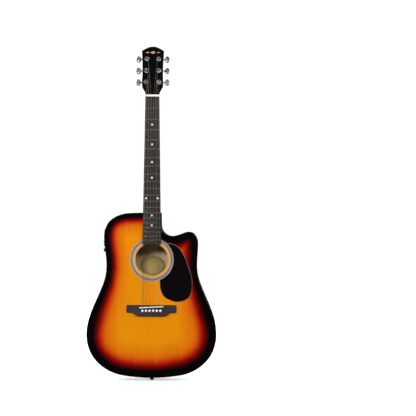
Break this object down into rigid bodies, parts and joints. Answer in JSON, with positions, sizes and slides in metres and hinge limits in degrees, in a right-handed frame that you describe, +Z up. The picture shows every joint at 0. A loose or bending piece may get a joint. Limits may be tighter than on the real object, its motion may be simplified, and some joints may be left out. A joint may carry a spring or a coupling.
{
  "type": "acoustic guitar",
  "caption": "Full-size cutaway acoustic-electric guitar: hollow braced body with sound hole, bridge and strings, fretted neck, geared tuners, side preamp and battery door.",
  "frame": {"origin": "under the tip of the end pin, on the centre line, at the middle of the overall depth", "axes": "+Z up the neck towards the headstock, -Y is the soundboard's side, +X is the treble side with the cutaway"},
  "size_m": [0.399, 0.1329, 1.0328],
  "materials": {
    "sunburst_spruce": "high gloss sunburst, black edge to amber centre",
    "burst_back_and_sides": "high gloss, near-black burst",
    "inner_wood": "raw, unfinished",
    "edge_binding": "gloss black",
    "rosette_inlay": "gloss, grey-brown ring between pale lines",
    "pickguard_black": "gloss black",
    "dark_rosewood": "satin, oiled",
    "neck_mahogany": "gloss, dark stain",
    "head_face": "gloss black",
    "pearl_dot": "polished",
    "bone_white": "polished",
    "fret_nickel": "polished",
    "chrome_hardware": "mirror",
    "plain_steel": "drawn wire",
    "wound_bronze": "wound wire",
    "black_case": "fine texture",
    "display_dark": "clear over dark",
    "board_green": "lacquered",
    "piezo_strip": "plated",
    "battery_case": "painted",
    "label_paper": "matt print",
    "cable_black": "matt",
    "end_pin_black": "black chrome",
    "steel_part": "plated"
  },
  "bodies": {
    "body_and_neck": {"soundboard": "sunburst_spruce", "back_plate": "burst_back_and_sides", "ribs": "burst_back_and_sides", "front_binding": "edge_binding", "back_binding": "edge_binding", "front_lining": "inner_wood", "back_lining": "inner_wood", "neck_block": "inner_wood", "tail_block": "inner_wood", "x_brace": "inner_wood", "top_braces": "inner_wood", "back_braces": "inner_wood", "bridge_plate": "inner_wood", "label": "label_paper", "rosette": "rosette_inlay", "pickguard": "pickguard_black", "bridge": "dark_rosewood", "saddle": "bone_white", "pickup_strip": "piezo_strip", "bridge_pins": "bone_white", "neck": "neck_mahogany", "heel_cap": "edge_binding", "truss_rod": "steel_part", "headstock_veneer": "head_face", "fingerboard": "dark_rosewood", "frets": "fret_nickel", "position_dots": "pearl_dot", "side_dots": "pearl_dot", "nut": "bone_white", "wound_strings": "wound_bronze", "plain_strings": "plain_steel", "preamp_housing": "black_case", "preamp_panel": "black_case", "display_window": "display_dark", "circuit_board": "board_green", "battery": "battery_case", "end_pin": "end_pin_black", "end_pin_nut": "steel_part", "wiring": "cable_black", "tuner_housings": "chrome_hardware", "tuner_bushings": "chrome_hardware", "tuner_washers": "chrome_hardware", "tuner_screws": "chrome_hardware"},
    "volume_knob": {"volume_knob": "black_case"},
    "bass_slider": {"bass_slider": "black_case"},
    "treble_slider": {"treble_slider": "black_case"},
    "tuner_switch": {"tuner_switch": "black_case"},
    "battery_door": {"battery_door": "black_case"},
    "button_1": {"tuner_button_1": "chrome_hardware"},
    "post_1": {"tuner_post_1": "chrome_hardware"},
    "button_2": {"tuner_button_2": "chrome_hardware"},
    "post_2": {"tuner_post_2": "chrome_hardware"},
    "button_3": {"tuner_button_3": "chrome_hardware"},
    "post_3": {"tuner_post_3": "chrome_hardware"},
    "button_4": {"tuner_button_4": "chrome_hardware"},
    "post_4": {"tuner_post_4": "chrome_hardware"},
    "button_5": {"tuner_button_5": "chrome_hardware"},
    "post_5": {"tuner_post_5": "chrome_hardware"},
    "button_6": {"tuner_button_6": "chrome_hardware"},
    "post_6": {"tuner_post_6": "chrome_hardware"}
  },
  "joints": [
    {"name": "button_1_turn", "type": "hinge", "parent": "body_and_neck", "child": "button_1", "pos_m": [-0.044, -0.02486, 0.92123], "axis": [-1, 0, 0], "continuous": true},
    {"name": "post_1_turn", "type": "hinge", "parent": "body_and_neck", "child": "post_1", "pos_m": [-0.0195, -0.04503, 0.92055], "axis": [0, 0.9744, -0.225], "continuous": true},
    {"name": "button_2_turn", "type": "hinge", "parent": "body_and_neck", "child": "button_2", "pos_m": [-0.044, -0.01643, 0.95777], "axis": [-1, 0, 0], "continuous": true},
    {"name": "post_2_turn", "type": "hinge", "parent": "body_and_neck", "child": "post_2", "pos_m": [-0.019, -0.0366, 0.95709], "axis": [0, 0.9744, -0.225], "continuous": true},
    {"name": "button_3_turn", "type": "hinge", "parent": "body_and_neck", "child": "button_3", "pos_m": [-0.044, -0.00801, 0.99421], "axis": [-1, 0, 0], "continuous": true},
    {"name": "post_3_turn", "type": "hinge", "parent": "body_and_neck", "child": "post_3", "pos_m": [-0.0184, -0.02818, 0.99353], "axis": [0, 0.9744, -0.225], "continuous": true},
    {"name": "button_4_turn", "type": "hinge", "parent": "body_and_neck", "child": "button_4", "pos_m": [0.044, -0.02486, 0.92123], "axis": [1, 0, 0], "continuous": true},
    {"name": "post_4_turn", "type": "hinge", "parent": "body_and_neck", "child": "post_4", "pos_m": [0.0195, -0.04503, 0.92055], "axis": [0, 0.9744, -0.225], "continuous": true},
    {"name": "button_5_turn", "type": "hinge", "parent": "body_and_neck", "child": "button_5", "pos_m": [0.044, -0.01643, 0.95777], "axis": [1, 0, 0], "continuous": true},
    {"name": "post_5_turn", "type": "hinge", "parent": "body_and_neck", "child": "post_5", "pos_m": [0.019, -0.0366, 0.95709], "axis": [0, 0.9744, -0.225], "continuous": true},
    {"name": "button_6_turn", "type": "hinge", "parent": "body_and_neck", "child": "button_6", "pos_m": [0.044, -0.00801, 0.99421], "axis": [1, 0, 0], "continuous": true},
    {"name": "post_6_turn", "type": "hinge", "parent": "body_and_neck", "child": "post_6", "pos_m": [0.0184, -0.02818, 0.99353], "axis": [0, 0.9744, -0.225], "continuous": true},
    {"name": "volume_turn", "type": "hinge", "parent": "body_and_neck", "child": "volume_knob", "pos_m": [-0.14491, -0.01503, 0.40302], "axis": [-1, 0, 0], "range_deg": [-140, 140]},
    {"name": "bass_slide", "type": "slide", "parent": "body_and_neck", "child": "bass_slider", "axis": [0, 1, 0], "range_m": [-0.007, 0.007]},
    {"name": "treble_slide", "type": "slide", "parent": "body_and_neck", "child": "treble_slider", "axis": [0, 1, 0], "range_m": [-0.007, 0.007]},
    {"name": "switch_press", "type": "slide", "parent": "body_and_neck", "child": "tuner_switch", "axis": [1, 0, 0], "range_m": [0, 0.001], "stiffness_N_per_m": 300, "springref_m": -0.0005},
    {"name": "door_hinge", "type": "hinge", "parent": "body_and_neck", "child": "battery_door", "pos_m": [-0.14665, -0.00303, 0.46552], "axis": [0, 1, 0], "range_deg": [0, 105]}
  ],
  "couplings": [
    {"joint": "post_1_turn", "follows": "button_1_turn", "ratio": 0.071429},
    {"joint": "post_2_turn", "follows": "button_2_turn", "ratio": 0.071429},
    {"joint": "post_3_turn", "follows": "button_3_turn", "ratio": 0.071429},
    {"joint": "post_4_turn", "follows": "button_4_turn", "ratio": 0.071429},
    {"joint": "post_5_turn", "follows": "button_5_turn", "ratio": 0.071429},
    {"joint": "post_6_turn", "follows": "button_6_turn", "ratio": 0.071429}
  ]
}
